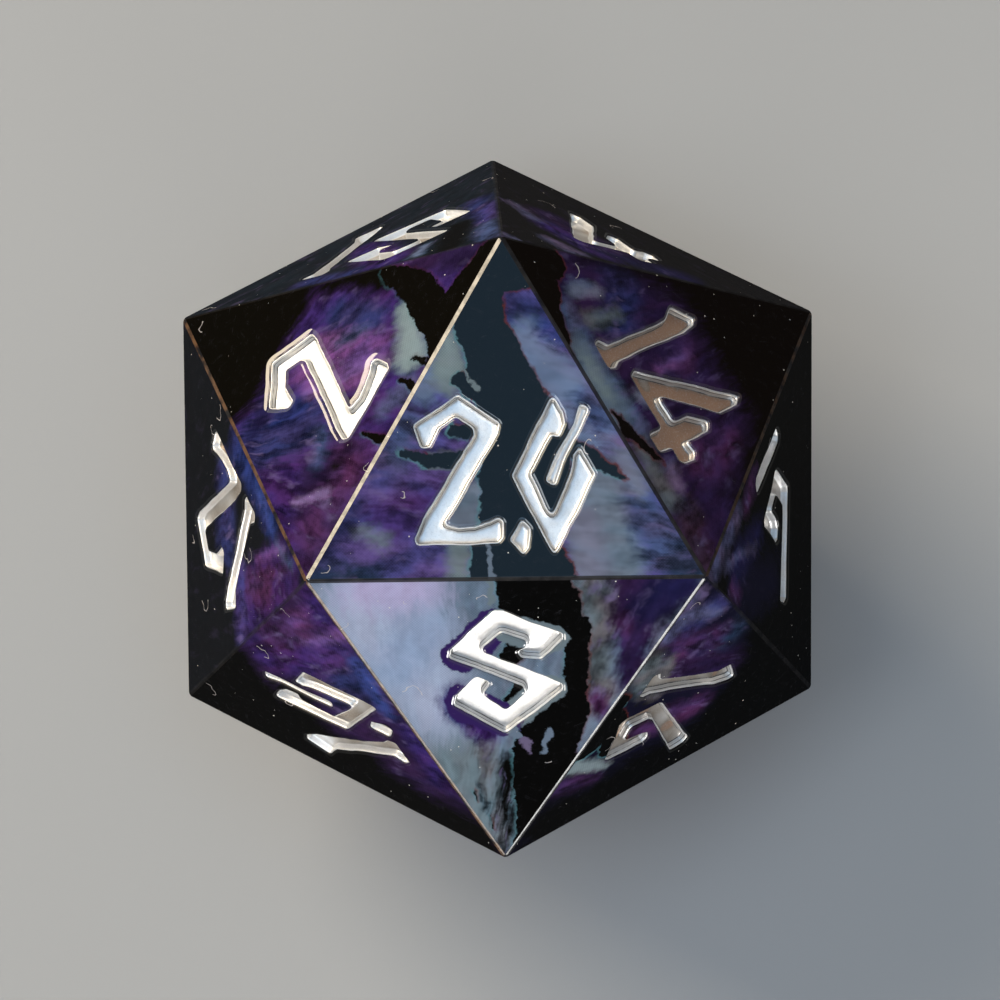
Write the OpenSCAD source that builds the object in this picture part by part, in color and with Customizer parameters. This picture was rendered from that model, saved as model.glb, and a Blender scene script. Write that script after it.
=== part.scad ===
// Twenty-sided die, cast in resin with crisp edges. A number is engraved in
// every face, and silver paint lines the floor and walls of each engraving.
// The die lies on its "1" face, which is at z = 0 and centred on the origin.
// The "20" is on top, and its digits stand upright towards +Y.
// Opposite faces add up to 21.

/* [Die] */
// Distance between two opposite faces
across_flats = 22; // [20:0.5:30]
// Radius that rounds the edges and corners
edge_radius = 0.25; // [0.1:0.05:0.6]
// Flat strips that make up each rounded edge
edge_strips = 2; // [1:1:4]

/* [Engraving] */
// Height of a digit
digit_height = 5.5; // [5.2:0.05:6]
// Space between the two digits of a number
digit_gap = 0.35; // [0.3:0.05:0.6]
// Space between a lone 6 or 9 and the bar under it
bar_gap = 0.6; // [0.4:0.05:0.8]
// Depth of the engraved floor below the face
engrave_depth = 0.45; // [0.35:0.05:0.8]
// How far a wall leans in between the bevel and the floor
wall_lean = 0.12; // [0.06:0.01:0.14]
// Width of the bevel around the mouth of each stroke
bevel_width = 0.08; // [0.04:0.01:0.1]
// Depth of that bevel
bevel_depth = 0.06; // [0.03:0.01:0.1]

/* [Paint] */
// Thickness of the paint on a floor
floor_paint = 0.1; // [0.05:0.01:0.15]
// Thickness of the paint on a wall
wall_paint = 0.05; // [0.03:0.01:0.06]
// Depth of the paint's upper rim below the face
paint_setback = 0.1; // [0.1:0.01:0.16]

/* [Hidden] */

// --- Icosahedron ---------------------------------------------------------
golden = (1 + sqrt(5)) / 2;
half_flats = across_flats / 2;
edge_length = across_flats * sqrt(3) / pow(golden, 2);

// The corners lie in four rings of three, from the top face down
top_ring_r = edge_length / sqrt(3);
mid_ring_r = golden * top_ring_r;
mid_ring_z = top_ring_r / (2 * golden);

function ring(r, z, first_angle) =
    [for (i = [0:2]) let (angle = first_angle + 120 * i) [r * cos(angle), r * sin(angle), z]];

corners = concat(
    ring(top_ring_r, half_flats, 90),
    ring(mid_ring_r, mid_ring_z, 30),
    ring(mid_ring_r, -mid_ring_z, 90),
    ring(top_ring_r, -half_flats, 30));

// Each row: the number, its face's corners as seen from outside (the one above
// the number, then lower left and lower right), and how far the hand-cut
// number sits to the right of and above the face's centre, in hundredths of
// the digit height
FACES = [
    [1, [11, 10, 9], [0, 0]],
    [2, [4, 1, 0], [-5, 6]],
    [3, [5, 11, 8], [0, 0]],
    [4, [6, 0, 3], [-5, 3]],
    [5, [4, 6, 10], [0, 0]],
    [6, [8, 3, 2], [-6, 2]],
    [7, [7, 10, 11], [0, 0]],
    [8, [5, 2, 1], [0, 0]],
    [9, [3, 8, 9], [0, 0]],
    [10, [7, 5, 1], [-4, 5]],
    [11, [3, 9, 6], [0, 0]],
    [12, [7, 1, 4], [5, 0]],
    [13, [6, 9, 10], [0, 0]],
    [14, [3, 0, 2], [8, -2]],
    [15, [4, 10, 7], [0, 0]],
    [16, [8, 2, 5], [4, -3]],
    [17, [5, 7, 11], [0, 0]],
    [18, [6, 4, 0], [4, -4]],
    [19, [8, 11, 9], [0, 0]],
    [20, [0, 1, 2], [0, -3]]];

function unit(v) = v / norm(v);
function sum_of(points) = [for (i = [0:len(points) - 1]) 1] * points;
function face_of(number) = FACES[number - 1];
function face_corners(number) = [for (i = face_of(number)[1]) corners[i]];
function face_normal(number) = unit(sum_of(face_corners(number)));

// Moves a shape drawn flat, as seen from outside, onto the number's face
module on_face(number) {
    centre = sum_of(face_corners(number)) / 3;
    up = unit(face_corners(number)[0] - centre);
    out = face_normal(number);
    right = cross(up, out);
    translate([0, 0, half_flats])
        multmatrix([for (i = [0:2]) [right[i], up[i], out[i], centre[i]]])
            children();
}

// --- Digits --------------------------------------------------------------
// Strokes are clockwise outlines in hundredths of the digit height
BRACKET = [[26, 100], [33.5, 88], [35, 80], [31, 70.5], [26, 72], [11.5, 47], [25, 17],
    [38.5, 50.5], [39.5, 58.5], [43.5, 64.5], [55, 46], [26, -9], [-1, 45.5]];
SLASH = [[20, 42], [27.5, 57.5], [40.5, 80], [44.5, 94], [51.5, 90], [47, 80], [35, 57.5],
    [27, 37.5]];
DOT = [[5, 17], [11.3, 10.5], [10, -2], [6, -7.5], [-3.5, 2.5]];
ONE = [[0, 84], [14, 99], [18, 95], [20, 82], [19, 48], [20, 12], [23, 6], [21, 0],
    [2, 0], [0, 6], [6, 12], [7, 48], [6, 73]];
TWO = [[0, 80], [30, 100], [58.5, 81], [56.5, 73.5], [21, 13.5], [30, 11.5], [40, 12], [50, 14.5],
    [56, 17.5], [59.5, 15.5], [59.5, 4], [56.5, 0], [2, 0], [0, 4], [6, 17], [40, 73],
    [40, 77], [29, 85], [18, 77], [12, 64.5], [6, 64]];
THREE = [[0, 80], [31, 100], [60, 82], [57, 74], [43, 58], [62, 42], [63, 34],
    [36, 0], [30, 0], [0, 18], [0, 24], [8, 36], [17, 31], [14, 24], [33, 15],
    [45, 34], [44, 40], [26, 55], [26, 60], [41, 77], [30, 85], [18, 77], [12, 65],
    [6, 66]];
FOUR = [[45, 97], [50, 90], [50, 72], [22, 28], [42, 28], [42, 43], [52, 58],
    [58, 52], [58, 29], [67, 31], [72, 26], [71, 16], [67, 12], [58, 13], [57, 0],
    [43, 0], [43, 14], [3, 14], [0, 20]];
FIVE = [[10, 96], [13, 100], [52, 96], [57, 99], [60, 94], [57, 84], [24, 85],
    [22, 66], [34, 70], [62, 44], [63, 36], [36, 0], [30, 0], [0, 18], [0, 24],
    [8, 36], [17, 31], [14, 24], [33, 15], [45, 35], [44, 40], [30, 53], [9, 50],
    [7, 54]];
SIX = [[42, 96], [48, 95], [55, 86], [47, 76], [19, 37], [17, 32], [23, 17],
    [36, 20], [31, 34], [31, 41], [36, 47], [41, 45], [45, 36], [54, 18], [53, 13],
    [32, 7], [18, 0], [13, 4], [1, 29], [2, 34]];
SEVEN = [[0, 84], [3, 97], [8, 100], [52, 96], [57, 99], [61, 94], [60, 84],
    [28, 4], [24, 0], [14, 0], [12, 4], [43, 82], [14, 84], [10, 76], [3, 76]];
EIGHT = [[38, 100], [74, 76], [72, 69], [58, 53], [47, 58], [53, 68], [38, 80],
    [25, 67], [26, 62], [76, 38], [75, 31], [47, 0], [41, 0], [0, 19], [0, 24],
    [15, 40], [28, 38], [31, 33], [24, 29], [25, 24], [41, 18], [55, 32], [0, 59],
    [0, 65]];
BAR = [[0, 9], [3, 13], [54, 12], [57, 9], [56, 3], [53, 0], [4, 0], [1, 3]];

SIX_W = 55;
NINE_TOP = 96;
// The nine is the six, turned upside down
NINE = [for (p = SIX) [SIX_W - p[0], NINE_TOP - p[1]]];

// Each digit: its width and its strokes
DIGITS = [
    [55, [BRACKET, SLASH, DOT]],
    [23, [ONE]],
    [60, [TWO]],
    [63, [THREE]],
    [72, [FOUR]],
    [63, [FIVE]],
    [SIX_W, [SIX]],
    [61, [SEVEN]],
    [76, [EIGHT]],
    [SIX_W, [NINE]]];
BAR_W = 57;
BAR_H = 13;

grid = digit_height / 100;

function needs_bar(number) = number == 6 || number == 9;
function digits_of(number) = number < 10 ? [number] : [floor(number / 10), number % 10];
function digit_width(digit) = DIGITS[digit][0] * grid;
function placed(outline, at) = [for (p = outline) p * grid + at];

// All the strokes of a number, in millimetres from its face's centre
function strokes(number) =
    let (
        digits = digits_of(number),
        widths = [for (d = digits) digit_width(d)],
        total_w = len(digits) == 1 ? widths[0] : widths[0] + digit_gap + widths[1],
        bar_room = needs_bar(number) ? BAR_H * grid + bar_gap : 0,
        start = face_of(number)[2] * grid - [total_w / 2, (digit_height - bar_room) / 2])
    concat(
        [for (i = [0:len(digits) - 1]) for (outline = DIGITS[digits[i]][1])
            placed(outline, start + [i * (widths[0] + digit_gap), 0])],
        needs_bar(number)
            ? [placed(BAR, start + [(total_w - BAR_W * grid) / 2, -bar_room])]
            : []);

// --- Engraving and paint -------------------------------------------------
// Outward normal of the side from one point of a clockwise outline to the next
function side_normal(from, to) = unit([from[1] - to[1], to[0] - from[0]]);

// A clockwise outline with every side moved outwards by the same distance
function grown(outline, by) =
    let (last = len(outline) - 1)
    [for (i = [0:last])
        let (
            here = outline[i],
            n1 = side_normal(outline[i == 0 ? last : i - 1], here),
            n2 = side_normal(here, outline[i == last ? 0 : i + 1]))
        here + by * (n1 + n2) / (1 + n1 * n2)];

// How far the wall has leaned in at a depth below the face
function lean_at(depth) = wall_lean * (depth - bevel_depth) / (engrave_depth - bevel_depth);

// The corners of a clockwise outline that rest lists, cut into triangles, one
// ear at a time
function in_triangle(p, a, b, c) =
    cross(b - a, p - a) <= 0 && cross(c - b, p - b) <= 0 && cross(a - c, p - c) <= 0;
function is_ear(outline, a, b, c, rest) =
    cross(outline[b] - outline[a], outline[c] - outline[b]) < 0
    && len([for (i = rest)
        if (i != a && i != b && i != c
            && in_triangle(outline[i], outline[a], outline[b], outline[c])) i]) == 0;
function triangles(outline, rest) =
    len(rest) == 3 ? [rest] :
    let (
        n = len(rest),
        ears = [for (k = [0:n - 1])
            let (ear = [rest[(k + n - 1) % n], rest[k], rest[(k + 1) % n]])
            if (is_ear(outline, ear[0], ear[1], ear[2], rest)) ear])
    concat([ears[0]], triangles(outline, [for (i = rest) if (i != ears[0][1]) i]));

function level(outline, by, depth) = [for (p = grown(outline, by)) [p[0], p[1], -depth]];
function flat(points) = [for (p = points) [p[0], p[1]]];
function backwards(list) = [for (i = [len(list) - 1:-1:0]) list[i]];

// Solid skinned over loops of the same outline. The first loop is closed with
// a cap that faces up, and the last with one that faces down
module skinned(loops) {
    n = len(loops[0]);
    last = len(loops) - 1;
    each_point = [for (i = [0:n - 1]) i];
    polyhedron(
        points = [for (loop = loops) each loop],
        faces = concat(
            triangles(flat(loops[0]), each_point),
            [for (k = [0:last - 1]) for (i = [0:n - 1])
                let (j = (i + 1) % n)
                [k * n + i, (k + 1) * n + i, (k + 1) * n + j, k * n + j]],
            [for (t = triangles(flat(loops[last]), each_point))
                [for (i = backwards(t)) last * n + i]]),
        convexity = 6);
}

// The room that one engraved stroke takes out of the face
module stroke_cutter(outline) {
    above = 0.01;
    skinned([
        level(outline, bevel_width * (1 + above / bevel_depth), -above),
        level(outline, 0, bevel_depth),
        level(outline, -wall_lean, engrave_depth)]);
}

// Paint in one stroke: a tray that lies on the floor and against the walls
module stroke_paint(outline) {
    paint_floor = engrave_depth - floor_paint;
    skinned([
        level(outline, -lean_at(paint_floor) - wall_paint, paint_floor),
        level(outline, -lean_at(paint_setback) - wall_paint, paint_setback),
        level(outline, -lean_at(paint_setback), paint_setback),
        level(outline, -wall_lean, engrave_depth)]);
}

// --- Sub-parts -----------------------------------------------------------
function numeral_name(number) = str("numeral_", number < 10 ? "0" : "", number);

// Numbers of the five faces that meet at a corner
function faces_at(corner) = [for (face = FACES) if (search(corner, face[1])) face[0]];

// Points on a small sphere inside a corner, between the normals of its faces
function rounded_corner(corner) =
    let (
        centre = corners[corner] * (1 - edge_radius / half_flats),
        normals = [for (number = faces_at(corner)) face_normal(number)])
    [for (n1 = normals) for (n2 = normals) for (k = [0:edge_strips])
        centre + edge_radius * unit(n1 * (edge_strips - k) + n2 * k)];

// The die before engraving
module blank() {
    points = [for (corner = [0:11]) each rounded_corner(corner)];
    translate([0, 0, half_flats])
        hull()
            polyhedron(points, [for (i = [0:3:len(points) - 3]) [i, i + 1, i + 2]]);
}

// The whole casting, with its twenty engraved numbers
module body() {
    color([0.13, 0.10, 0.22])
        difference() {
            blank();
            for (number = [1:20])
                on_face(number)
                    for (outline = strokes(number))
                        stroke_cutter(outline);
        }
}

// Silver paint of one number
module numeral(number) {
    color([0.80, 0.82, 0.84])
        on_face(number)
            for (outline = strokes(number))
                stroke_paint(outline);
}

body();
for (number = [1:20])
    numeral(number);
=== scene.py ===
"""Twenty-sided die: dark swirled resin with crisp edges, and engraved numbers lined with silver paint.

The die lies on its "1", and the digits of the "20" stand upright towards +Y. Lengths in the tables
are in millimetres, hundredths of a digit's height, or hundredths of the die's edge, as each says.
"""
import math
import bmesh
import bpy
import numpy as np
from mathutils import Matrix, Vector, noise
from mathutils.geometry import delaunay_2d_cdt


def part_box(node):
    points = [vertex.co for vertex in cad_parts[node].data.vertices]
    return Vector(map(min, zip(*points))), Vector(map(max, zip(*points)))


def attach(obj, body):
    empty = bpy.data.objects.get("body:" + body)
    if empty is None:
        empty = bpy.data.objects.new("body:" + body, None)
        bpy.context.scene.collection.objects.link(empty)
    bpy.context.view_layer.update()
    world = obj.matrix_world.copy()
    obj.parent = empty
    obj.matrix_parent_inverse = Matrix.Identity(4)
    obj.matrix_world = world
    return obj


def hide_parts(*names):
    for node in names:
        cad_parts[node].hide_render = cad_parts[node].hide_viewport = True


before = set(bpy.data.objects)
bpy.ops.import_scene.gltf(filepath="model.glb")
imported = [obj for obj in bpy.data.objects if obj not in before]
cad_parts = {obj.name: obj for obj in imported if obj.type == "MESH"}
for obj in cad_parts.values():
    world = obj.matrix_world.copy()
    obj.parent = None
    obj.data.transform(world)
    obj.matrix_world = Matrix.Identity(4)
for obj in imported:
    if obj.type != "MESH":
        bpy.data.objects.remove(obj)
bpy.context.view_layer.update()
# The waver of the hand-cut sides differs from run to run unless it is seeded (0 means the clock)
noise.seed_set(1)

MM = 0.001
low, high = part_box("body")
HALF_FLATS = (high.z - low.z) / 2
GOLDEN = (1 + math.sqrt(5)) / 2
EDGE = 2 * HALF_FLATS * math.sqrt(3) / GOLDEN**2
CENTRE = Vector((0, 0, low.z + HALF_FLATS))

EDGE_RADIUS = 0.25 * MM
# How far round each step of an edge lies, and which way the surface faces there: nearly a flat bevel
EDGE_STEPS = (0, 0.1, 0.5, 0.9, 1)
EDGE_FACING = (0, 0.42, 0.5, 0.58, 1)
# Edges that were sanded more from the side of their first face, and by how much
EDGE_LEAN = {(8, 10): -0.2, (8, 16): -0.2}
# How well an edge was polished, where it isn't dull, and edges that take a patchy painted warm reflection in
# brown, and how much. The bevels are painted nearly black as painted shade; a dull edge without the warm
# reflection takes less of it
EDGE_SHINE = {(2, 20): 1.0, (8, 20): 0.46, (8, 10): 0.3, (8, 16): 0.33, (14, 20): 0.35}
DULL_EDGE = 0.085
DULL_EDGE_SHADE = 0.4
WARM_REFLECTION_EDGES = {(2, 12): 0.5, (6, 14): 0.2, (8, 10): 0.45}

# Millimetres: the digits, the gap between two of them and the one over the bar of the 6 and the 9
DIGIT_HEIGHT, DIGIT_GAP, BAR_GAP = 5.5, 0.35, 0.6
# How far the sides of the digits waver, in long waves and in short ones
SLOW_WAVER, QUICK_WAVER = 0.05, 0.018

# --- Faces and digits ----------------------------------------------------
# number: the face's corners (above the number, lower left, lower right), and how far the number
# sits to the right of and above the centre, in hundredths of a digit's height
FACES = {
    1: ((11, 10, 9), (0, 0)), 2: ((4, 1, 0), (-5, 6)), 3: ((5, 11, 8), (0, 0)),
    4: ((6, 0, 3), (-5, 3)), 5: ((4, 6, 10), (0, 0)), 6: ((8, 3, 2), (-6, 2)),
    7: ((7, 10, 11), (0, 0)), 8: ((5, 2, 1), (0, 0)), 9: ((3, 8, 9), (0, 0)),
    10: ((7, 5, 1), (-4, 5)), 11: ((3, 9, 6), (0, 0)), 12: ((7, 1, 4), (5, 0)),
    13: ((6, 9, 10), (0, 0)), 14: ((3, 0, 2), (8, -2)), 15: ((4, 10, 7), (0, 0)),
    16: ((8, 2, 5), (4, -3)), 17: ((5, 7, 11), (0, 0)), 18: ((6, 4, 0), (4, -4)),
    19: ((8, 11, 9), (0, 0)), 20: ((0, 1, 2), (0, -3)),
}

# Stroke outlines, clockwise, in hundredths of a digit's height
BRACKET = [(26, 100), (33.5, 88), (35, 80), (31, 70.5), (26, 72), (11.5, 47), (25, 17),
           (38.5, 50.5), (39.5, 58.5), (43.5, 64.5), (55, 46), (26, -9), (-1, 45.5)]
SLASH = [(20, 42), (27.5, 57.5), (40.5, 80), (44.5, 94), (51.5, 90), (47, 80), (35, 57.5),
         (27, 37.5)]
DOT = [(5, 17), (11.3, 10.5), (10, -2), (6, -7.5), (-3.5, 2.5)]
ONE = [(0, 84), (14, 99), (18, 95), (20, 82), (19, 48), (20, 12), (23, 6), (21, 0), (2, 0),
       (0, 6), (6, 12), (7, 48), (6, 73)]
TWO = [(0, 80), (30, 100), (58.5, 81), (56.5, 73.5), (21, 13.5), (30, 11.5), (40, 12), (50, 14.5),
       (56, 17.5), (59.5, 15.5), (59.5, 4), (56.5, 0), (2, 0), (0, 4), (6, 17), (40, 73),
       (40, 77), (29, 85), (18, 77), (12, 64.5), (6, 64)]
THREE = [(0, 80), (31, 100), (60, 82), (57, 74), (43, 58), (62, 42), (63, 34), (36, 0), (30, 0),
         (0, 18), (0, 24), (8, 36), (17, 31), (14, 24), (33, 15), (45, 34), (44, 40), (26, 55),
         (26, 60), (41, 77), (30, 85), (18, 77), (12, 65), (6, 66)]
FOUR = [(45, 97), (50, 90), (50, 72), (22, 28), (42, 28), (42, 43), (52, 58), (58, 52), (58, 29),
        (67, 31), (72, 26), (71, 16), (67, 12), (58, 13), (57, 0), (43, 0), (43, 14), (3, 14), (0, 20)]
FIVE = [(10, 96), (13, 100), (52, 96), (57, 99), (60, 94), (57, 84), (24, 85), (22, 66), (34, 70),
        (62, 44), (63, 36), (36, 0), (30, 0), (0, 18), (0, 24), (8, 36), (17, 31), (14, 24),
        (33, 15), (45, 35), (44, 40), (30, 53), (9, 50), (7, 54)]
SIX = [(42, 96), (48, 95), (55, 86), (47, 76), (19, 37), (17, 32), (23, 17), (36, 20), (31, 34),
       (31, 41), (36, 47), (41, 45), (45, 36), (54, 18), (53, 13), (32, 7), (18, 0), (13, 4),
       (1, 29), (2, 34)]
SEVEN = [(0, 84), (3, 97), (8, 100), (52, 96), (57, 99), (61, 94), (60, 84), (28, 4), (24, 0),
         (14, 0), (12, 4), (43, 82), (14, 84), (10, 76), (3, 76)]
EIGHT = [(38, 100), (74, 76), (72, 69), (58, 53), (47, 58), (53, 68), (38, 80), (25, 67),
         (26, 62), (76, 38), (75, 31), (47, 0), (41, 0), (0, 19), (0, 24), (15, 40), (28, 38),
         (31, 33), (24, 29), (25, 24), (41, 18), (55, 32), (0, 59), (0, 65)]
NINE = [(55 - x, 96 - y) for x, y in SIX]
BAR = [(0, 9), (3, 13), (54, 12), (57, 9), (56, 3), (53, 0), (4, 0), (1, 3)]
BAR_WIDTH, BAR_HEIGHT = 57, 13

# digit: its width and its strokes
DIGITS = [(55, [BRACKET, SLASH, DOT]), (23, [ONE]), (60, [TWO]), (63, [THREE]), (72, [FOUR]),
          (63, [FIVE]), (55, [SIX]), (61, [SEVEN]), (76, [EIGHT]), (55, [NINE])]

# Section of an engraved stroke, from the face down: how far outside the outline, and how deep.
# Points that are further out than LIP_START are on its lip
POCKET = [(0.095, 0.0), (0.09, 0.0005), (0.083, 0.0022), (0.032, 0.016), (0.024, 0.0195),
          (0.011, 0.028), (0.001, 0.06), (-0.004, 0.088), (-0.03, 0.21), (-0.12, 0.45)]
LIP_START = 0.01
# Numbers whose lips were worn wider and how many times, those with dull lips, and how well a worn
# lip, a dull one and any other was polished
LIP_WIDTHS = {2: 2.0}
DULL_LIPS = (4, 6, 10, 12, 16, 18)
WORN_SHINE, DULL_SHINE, LIP_SHINE = 1.0, 0.2, 0.6
# Painted shade runs along the paint's wall at this depth and this far up and down: a greyer wall with a dark
# seam line in it. It is faint in narrow strokes and in these numbers
SEAM_DEPTH, SEAM_REACH, FAINT_SEAM = 0.24, 0.12, 0.25
SEAMLESS, NARROW_STROKE = (4, 6, 10, 12, 18), 0.5
# Section of the paint in a stroke, from where it leaves the wall to the floor's edge
PAINT = [(0.008, 0.088), (-0.006, 0.074), (-0.026, 0.07), (-0.045, 0.084), (-0.058, 0.12),
         (-0.068, 0.18), (-0.08, 0.25), (-0.1, 0.305), (-0.128, 0.336)]
PAINT_BACK = [(0.004, 0.11), (-0.03, 0.22), (-0.116, 0.448)]
PAINT_FLOOR = 0.35
# Numbers whose paint floor takes a painted brown reflection of warm surroundings: how much (above 1 it is
# brown nearly all over) and up to what height, in millimetres over the middle of the face
BROWN_REFLECTIONS = {14: (1.6, 4.0), 16: (0.75, 2.6), 10: (0.62, 2.2), 12: (0.7, 2.0), 6: (0.55, 1.0),
           18: (0.62, 2.0), 4: (0.65, 2.2)}


def ring_of_corners(radius, height, first_angle):
    angles = [math.radians(first_angle + 120 * i) for i in range(3)]
    return [Vector((radius * math.cos(a), radius * math.sin(a), height)) for a in angles]


TOP_RING = EDGE / math.sqrt(3)
MIDDLE_RING = GOLDEN * TOP_RING
MIDDLE_HEIGHT = TOP_RING / (2 * GOLDEN)
CORNERS = (ring_of_corners(TOP_RING, HALF_FLATS, 90) + ring_of_corners(MIDDLE_RING, MIDDLE_HEIGHT, 30)
           + ring_of_corners(MIDDLE_RING, -MIDDLE_HEIGHT, 90) + ring_of_corners(TOP_RING, -HALF_FLATS, 30))


def face_corners(number):
    return [CORNERS[i] for i in FACES[number][0]]


def face_frame(number):
    """Axes of a face, as seen from outside: right, up and outwards, from its centre."""
    corners = face_corners(number)
    middle = sum(corners, Vector()) / 3
    up, out = (corners[0] - middle).normalized(), middle.normalized()
    axes = Matrix((up.cross(out), up, out)).transposed().to_4x4()
    return Matrix.Translation(CENTRE + middle) @ axes


NORMALS = {number: sum(face_corners(number), Vector()).normalized() for number in FACES}


# --- Engraved strokes ----------------------------------------------------
def strokes(number):
    """Outlines of a number's strokes, in millimetres from the middle of its face."""
    grid = DIGIT_HEIGHT / 100
    digits = [number] if number < 10 else [number // 10, number % 10]
    widths = [DIGITS[d][0] * grid for d in digits]
    barred = number in (6, 9)
    bar_room = BAR_HEIGHT * grid + BAR_GAP if barred else 0
    total = widths[0] if len(digits) == 1 else widths[0] + DIGIT_GAP + widths[1]
    aside, above = FACES[number][1]
    x, y = aside * grid - total / 2, above * grid - (DIGIT_HEIGHT - bar_room) / 2
    found = []
    for place, digit in enumerate(digits):
        start = x + place * (widths[0] + DIGIT_GAP)
        found += [[Vector((start + px * grid, y + py * grid)) for px, py in s] for s in DIGITS[digit][1]]
    if barred:
        start = x + (total - BAR_WIDTH * grid) / 2
        found.append([Vector((start + px * grid, y - bar_room + py * grid)) for px, py in BAR])
    return found


def grown(outline, by):
    """A clockwise outline with every side moved outwards by the same distance."""
    moved = []
    for i, here in enumerate(outline):
        before, after = here - outline[i - 1], outline[(i + 1) % len(outline)] - here
        n1, n2 = Vector((-before.y, before.x)).normalized(), Vector((-after.y, after.x)).normalized()
        moved.append(here + by * (n1 + n2) / (1 + n1.dot(n2)))
    return moved


def hand_cut(point, number):
    """The small unevenness of an edge that was cut and polished by hand."""
    at = Vector((point.x, point.y, 7.3 * number))
    slow, quick = noise.noise_vector(at * 0.9), noise.noise_vector(at * 3.1)
    return Vector((point.x + SLOW_WAVER * slow.x + QUICK_WAVER * quick.x,
                   point.y + SLOW_WAVER * slow.y + QUICK_WAVER * quick.y))


def softened(outline, by, number, bend=0.19, bend_steps=5, step=0.16):
    """An outline moved outwards, with bent corners and sides that waver a little."""
    moved = grown(outline, by)
    count = len(moved)
    bends = []
    for i, here in enumerate(moved):
        before, after = moved[i - 1] - here, moved[(i + 1) % count] - here
        inwards, onwards = -before.normalized(), after.normalized()
        turn = math.acos(max(-1, min(1, inwards.dot(onwards))))
        outside = inwards.x * onwards.y - inwards.y * onwards.x < 0
        radius = max(0.03, bend + (by if outside else -by))
        room = min(radius * math.tan(turn / 2), 0.45 * before.length, 0.45 * after.length)
        bends.append((here - inwards * room, here + onwards * room))
    points = []
    for i, (start, end) in enumerate(bends):
        for k in range(bend_steps + 1):
            t = k / bend_steps
            points.append((1 - t) ** 2 * start + 2 * t * (1 - t) * moved[i] + t**2 * end)
        following = (i + 1) % count
        splits = max(1, round((outline[following] - outline[i]).length / step))
        points += [end.lerp(bends[following][0], k / splits) for k in range(1, splits)]
    return [hand_cut(p, number) for p in points]


def inside(points, loop):
    """Which of the points lie inside a closed loop."""
    px, py = np.array([p[0] for p in points]), np.array([p[1] for p in points])
    found = np.zeros(len(points), bool)
    for a, b in zip(loop, loop[1:] + loop[:1]):
        crosses = (a[1] > py) != (b[1] > py)
        with np.errstate(divide="ignore", invalid="ignore"):
            at = (b[0] - a[0]) * (py - a[1]) / (b[1] - a[1]) + a[0]
        found ^= crosses & (px < at)
    return found


def tiled(points, loops, wanted):
    """Triangles over the points that keep to the loops' sides; wanted says which middles to keep."""
    sides, start = [], 0
    for loop in loops:
        sides += [(start + k, start + (k + 1) % len(loop)) for k in range(len(loop))]
        start += len(loop)
    _, _, faces, origins, _, _ = delaunay_2d_cdt(points, sides, [], 0, 1e-7)
    faces = [[origins[v][0] for v in face] for face in faces if all(origins[v] for v in face)]
    middles = [sum((points[v] for v in face), Vector((0, 0))) / 3 for face in faces]
    return [face for face, keep in zip(faces, wanted(middles)) if keep]


def new_object(name, data):
    made = bpy.data.objects.new(name, data)
    bpy.context.scene.collection.objects.link(made)
    return made


class Shell:
    """A mesh that is built up from named points, so that neighbouring faces share them."""

    def __init__(self, *values):
        self.mesh = bmesh.new()
        self.known = {}
        self.facing = {}
        self.values = {name: self.mesh.verts.layers.float.new(name) for name in values}

    def point(self, key, place, facing=None, **values):
        if key not in self.known:
            made = self.mesh.verts.new(place)
            if facing:
                self.facing[len(self.known)] = facing
            for name, value in values.items():
                made[self.values[name]] = value
            self.known[key] = made
        return self.known[key]

    def face(self, keys):
        corners = []
        for key in keys:
            if self.known[key] not in corners:
                corners.append(self.known[key])
        if len(corners) > 2 and not self.mesh.faces.get(corners):
            self.mesh.faces.new(corners).smooth = True

    def band(self, upper, lower):
        """Quads between two closed rings of keys."""
        for k in range(len(upper)):
            self.face([upper[k - 1], lower[k - 1], lower[k], upper[k]])

    def finished(self, name):
        bmesh.ops.recalc_face_normals(self.mesh, faces=self.mesh.faces)
        data = bpy.data.meshes.new(name)
        self.mesh.to_mesh(data)
        self.mesh.free()
        return new_object(name, data)


def on_face(number, point, depth):
    return face_frame(number) @ Vector((point.x * MM, point.y * MM, -depth * MM))


# --- Casting -------------------------------------------------------------
def neighbours():
    """For each side of a face, its two corners, that face and the one across it."""
    owner = {}
    for number, (corners, _) in FACES.items():
        for k in range(3):
            owner[corners[k], corners[(k + 1) % 3]] = number
    return [(a, b, number, owner[b, a]) for (a, b), number in owner.items() if number < owner[b, a]]


def ball_point(corner, direction):
    """Where the small ball that rounds a corner reaches in a direction."""
    return CENTRE + CORNERS[corner] * (1 - EDGE_RADIUS / HALF_FLATS) + EDGE_RADIUS * direction


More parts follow.
